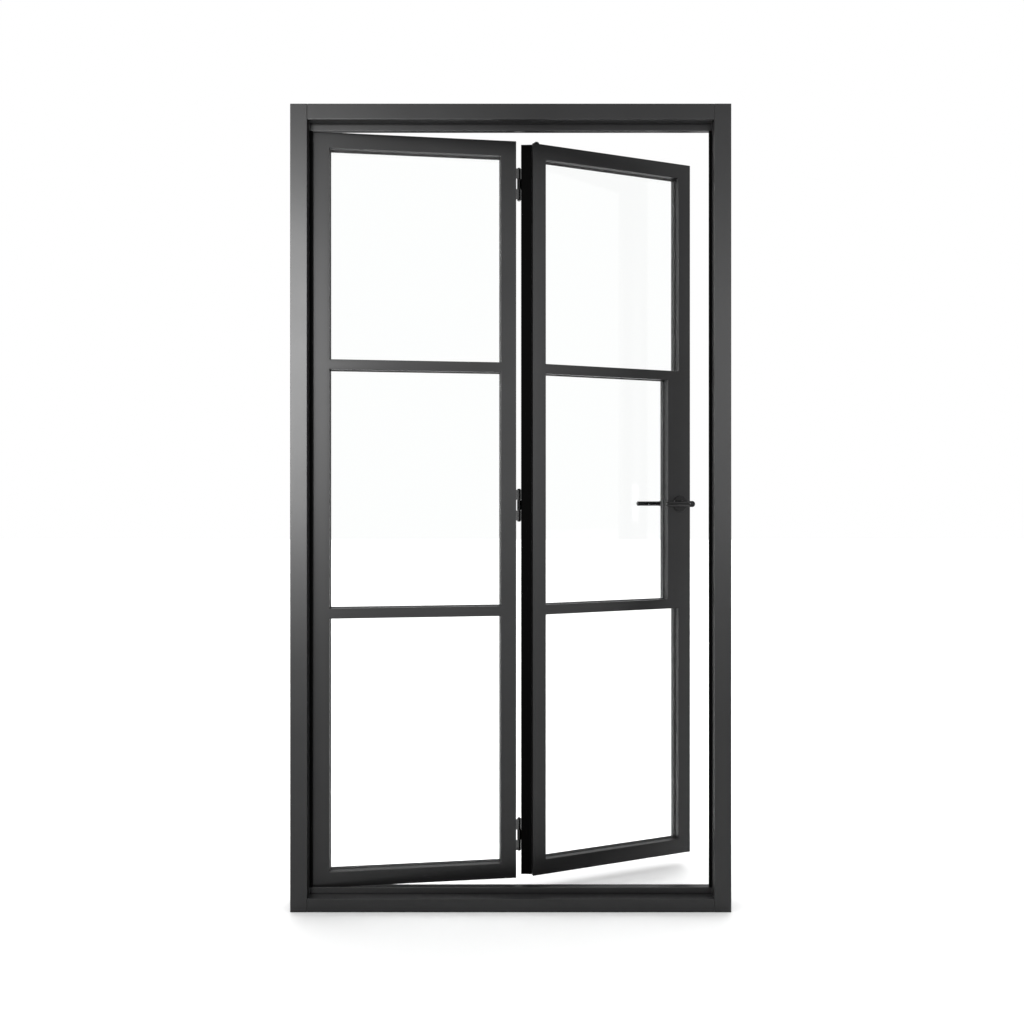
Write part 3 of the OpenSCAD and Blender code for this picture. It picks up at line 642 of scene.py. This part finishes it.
def seen_directly(tree):
    """One where the surround is seen directly, in a reflection or through glass, and zero elsewhere."""
    path = tree.nodes.new("ShaderNodeLightPath")
    value = path.outputs["Is Camera Ray"]
    for name in ("Is Glossy Ray", "Is Transmission Ray"):
        larger = tree.nodes.new("ShaderNodeMath")
        larger.operation = "MAXIMUM"
        tree.links.new(value, larger.inputs[0])
        tree.links.new(path.outputs[name], larger.inputs[1])
        value = larger.outputs["Value"]
    return value


def top_light(tree):
    """Strength of the surround's light, which grows towards its top."""
    direction = tree.nodes.new("ShaderNodeTexCoord")
    towards = tree.nodes.new("ShaderNodeVectorMath")
    towards.operation = "DOT_PRODUCT"
    towards.inputs[1].default_value = TOP_DIRECTION
    tree.links.new(direction.outputs["Generated"], towards.inputs[0])
    upward = tree.nodes.new("ShaderNodeMath")
    upward.operation = "MAXIMUM"
    upward.inputs[1].default_value = 0.0
    tree.links.new(towards.outputs["Value"], upward.inputs[0])
    gathered = tree.nodes.new("ShaderNodeMath")
    gathered.operation = "POWER"
    gathered.inputs[1].default_value = TOP_GATHER
    tree.links.new(upward.outputs["Value"], gathered.inputs[0])
    strength = tree.nodes.new("ShaderNodeMapRange")
    strength.inputs["To Min"].default_value = SIDE_LIGHT
    strength.inputs["To Max"].default_value = TOP_LIGHT
    tree.links.new(gathered.outputs["Value"], strength.inputs["Value"])
    return strength.outputs["Result"]


def white_surround():
    """A world that shows white and lights the door softly, most from above and a little behind."""
    world = bpy.data.worlds.new("studio_surround")
    bpy.context.scene.world = world
    world.use_nodes = True
    tree = world.node_tree
    tree.nodes.clear()
    output = tree.nodes.new("ShaderNodeOutputWorld")
    shown = tree.nodes.new("ShaderNodeBackground")
    shown.inputs["Color"].default_value = WHITE
    lights = tree.nodes.new("ShaderNodeBackground")
    lights.inputs["Color"].default_value = WHITE
    tree.links.new(top_light(tree), lights.inputs["Strength"])
    surround = either_shader(tree, seen_directly(tree), at_zero=lights.outputs["Background"],
                             at_one=shown.outputs["Background"])
    tree.links.new(surround, output.inputs["Surface"])


def soft_light(name, place, target, width, height, watts):
    """A soft box that faces a point and shows only as a sheen on the finishes."""
    data = bpy.data.lights.new(name, "AREA")
    data.shape = "RECTANGLE"
    data.size = width
    data.size_y = height
    data.energy = watts
    lamp = bpy.data.objects.new(name, data)
    bpy.context.scene.collection.objects.link(lamp)
    lamp.visible_diffuse = False
    lamp.location = place
    lamp.rotation_euler = (Vector(target) - Vector(place)).to_track_quat("-Z", "Y").to_euler()


def door_camera():
    """The photograph's view of the door."""
    data = bpy.data.cameras.new("door_camera")
    data.sensor_width = SENSOR_MM
    data.lens = FOCAL_PX * SENSOR_MM / IMAGE_PX
    data.shift_x = (IMAGE_PX / 2 - AXIS_PX[0]) / IMAGE_PX
    data.shift_y = (AXIS_PX[1] - IMAGE_PX / 2) / IMAGE_PX
    camera = bpy.data.objects.new("door_camera", data)
    bpy.context.scene.collection.objects.link(camera)
    camera.location = EYE
    camera.rotation_euler = (math.pi / 2, 0, 0)
    bpy.context.scene.camera = camera


white_floor()
white_surround()
soft_light("left_softbox", place=(-1.45, -2.5, 1.83), target=(-0.5, 0, 1.4),
           width=1.5, height=1.8, watts=210)
soft_light("right_softbox", place=(1.4, -2.5, 1.75), target=(0.5, 0, 1.35),
           width=0.8, height=1.9, watts=27)
door_camera()
bpy.context.scene.view_settings.view_transform = "Standard"
